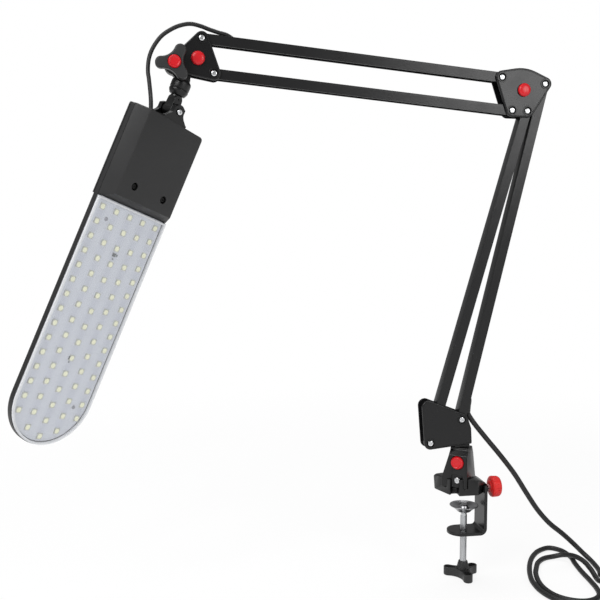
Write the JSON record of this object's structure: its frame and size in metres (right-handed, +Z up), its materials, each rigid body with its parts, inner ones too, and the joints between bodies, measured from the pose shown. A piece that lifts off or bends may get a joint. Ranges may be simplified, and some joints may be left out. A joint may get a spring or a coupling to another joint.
{
  "type": "clamp-on swing-arm desk lamp",
  "caption": "Clamp-on desk lamp with two spring-balanced parallel-bar arms and a flat panel head on tilt and swivel joints.",
  "frame": {"origin": "on the clamping screw's axis, in the saddle's underside where it meets the desk top", "axes": "+Z up, +X from the head towards the elbow's side in the plane in which the arms swing, -Y towards the front"},
  "size_m": [0.7428, 0.1664, 0.6368],
  "materials": {
    "painted_steel": "semi gloss black powder coat",
    "cast_zinc": "satin black paint on a zinc casting",
    "bright_steel": "zinc plated, bright",
    "spring_steel": "oiled spring wire",
    "black_plastic": "fine grained black plastic",
    "red_plastic": "glossy red plastic",
    "clear_plastic": "clear sheet",
    "led_board": "white solder mask with pale yellow chips",
    "driver_board": "green circuit board",
    "cord": "matt black sheath"
  },
  "bodies": {
    "clamp": {"clamp_bracket": "painted_steel", "clamp_saddle": "cast_zinc", "tower_block": "cast_zinc", "tower_cap": "red_plastic", "tower_screw": "bright_steel", "mains_cord": "cord", "mains_coil": "cord", "mains_loops": "cord", "cord_tie": "cord", "mains_plug": "cord"},
    "pad": {"clamp_pad": "bright_steel"},
    "screw": {"clamp_screw": "bright_steel", "clamp_handle": "black_plastic"},
    "lock": {"lock_knob": "red_plastic", "lock_screw": "bright_steel"},
    "housing": {"housing_front_cheek": "painted_steel", "housing_back_cheek": "painted_steel", "housing_foot": "cast_zinc", "housing_bolt_left": "bright_steel", "housing_bolt_right": "bright_steel"},
    "lower_left": {"lower_left_bar": "painted_steel", "lower_spring": "spring_steel"},
    "lower_right": {"lower_right_bar": "painted_steel", "lower_cord": "cord"},
    "elbow": {"elbow_front_plate": "painted_steel", "elbow_back_plate": "painted_steel", "elbow_bolt_lower_left": "bright_steel", "elbow_bolt_lower_right": "bright_steel", "elbow_bolt_upper_top": "bright_steel", "elbow_bolt_upper_bottom": "bright_steel", "elbow_spacer": "bright_steel", "elbow_cap": "red_plastic"},
    "upper_top": {"upper_top_bar": "painted_steel", "upper_cord": "cord"},
    "upper_bottom": {"upper_bottom_bar": "painted_steel", "upper_spring": "spring_steel"},
    "head_joint": {"end_plate_front": "painted_steel", "end_plate_back": "painted_steel", "end_bolt_top": "bright_steel", "end_bolt_bottom": "bright_steel", "end_spacer": "bright_steel", "end_cap": "red_plastic", "tilt_nut": "bright_steel", "head_cord": "cord"},
    "tilt_screw": {"tilt_knob": "black_plastic", "tilt_knob_cap": "red_plastic", "tilt_bolt": "bright_steel"},
    "knuckle": {"knuckle": "cast_zinc"},
    "swivel": {"swivel_stem": "cast_zinc"},
    "head": {"head_clevis": "cast_zinc", "clevis_screw": "bright_steel", "rear_shell": "black_plastic", "front_cover": "black_plastic", "cover_screw_left": "bright_steel", "cover_screw_right": "bright_steel", "led_board": "led_board", "clear_cover": "clear_plastic", "driver_board": "driver_board"}
  },
  "joints": [
    {"name": "clamp_travel", "type": "slide", "parent": "clamp", "child": "pad", "axis": [0, 0, 1], "range_m": [-0.02, 0.015]},
    {"name": "clamp_turn", "type": "hinge", "parent": "pad", "child": "screw", "pos_m": [0, 0, 0], "axis": [0, 0, 1], "range_deg": [-5761, 4321]},
    {"name": "lock_turn", "type": "hinge", "parent": "clamp", "child": "lock", "pos_m": [0.0365, 0, 0.0043], "axis": [1, 0, 0], "range_deg": [-360, 60]},
    {"name": "base_swivel", "type": "hinge", "parent": "clamp", "child": "housing", "pos_m": [-0.004, 0, 0.055], "axis": [0, 0, 1], "range_deg": [-170, 170], "deforming": ["mains_cord"]},
    {"name": "lower_arm", "type": "hinge", "parent": "housing", "child": "lower_left", "pos_m": [-0.045, 0, 0.062], "axis": [0, -1, 0], "range_deg": [-1.5, 35]},
    {"name": "lower_arm_right", "type": "hinge", "parent": "housing", "child": "lower_right", "pos_m": [-0.00714, 0, 0.0886], "axis": [0, -1, 0], "range_deg": [-1.5, 34]},
    {"name": "elbow_turn", "type": "hinge", "parent": "lower_left", "child": "elbow", "pos_m": [0.06572, 0, 0.44637], "axis": [0, -1, 0], "range_deg": [-54, 2.4]},
    {"name": "upper_arm", "type": "hinge", "parent": "elbow", "child": "upper_top", "pos_m": [0.03432, 0, 0.48367], "axis": [0, 1, 0], "range_deg": [-50, 45]},
    {"name": "upper_arm_bottom", "type": "hinge", "parent": "elbow", "child": "upper_bottom", "pos_m": [0.04712, 0, 0.44667], "axis": [0, 1, 0], "range_deg": [-50.5, 45.5]},
    {"name": "head_joint_turn", "type": "hinge", "parent": "upper_top", "child": "head_joint", "pos_m": [-0.30592, 0, 0.51523], "axis": [0, 1, 0], "range_deg": [-45.5, 50.5]},
    {"name": "tilt_screw_turn", "type": "hinge", "parent": "head_joint", "child": "tilt_screw", "pos_m": [-0.33562, 0, 0.48653], "axis": [0, 1, 0], "range_deg": [-180, 60]},
    {"name": "head_tilt", "type": "hinge", "parent": "head_joint", "child": "knuckle", "pos_m": [-0.33562, 0, 0.48653], "axis": [0, 1, 0], "range_deg": [-6, 75], "deforming": ["head_cord"]},
    {"name": "head_swivel", "type": "hinge", "parent": "knuckle", "child": "swivel", "pos_m": [-0.32552, 0, 0.47383], "axis": [0.3746, 0, 0.9272], "range_deg": [-120, 120]},
    {"name": "head_swing", "type": "hinge", "parent": "swivel", "child": "head", "pos_m": [-0.33938, 0, 0.43952], "axis": [0.6319, -0.7319, -0.255], "range_deg": [-40, 40]}
  ],
  "couplings": [
    {"joint": "clamp_turn", "follows": "clamp_travel", "rad_per_m": 5026.5},
    {"joint": "lower_arm_right", "follows": "lower_arm", "ratio": 0.961},
    {"joint": "elbow_turn", "follows": "lower_arm", "ratio": -1.534},
    {"joint": "upper_arm_bottom", "follows": "upper_arm", "ratio": 1},
    {"joint": "head_joint_turn", "follows": "upper_arm", "ratio": -1}
  ]
}
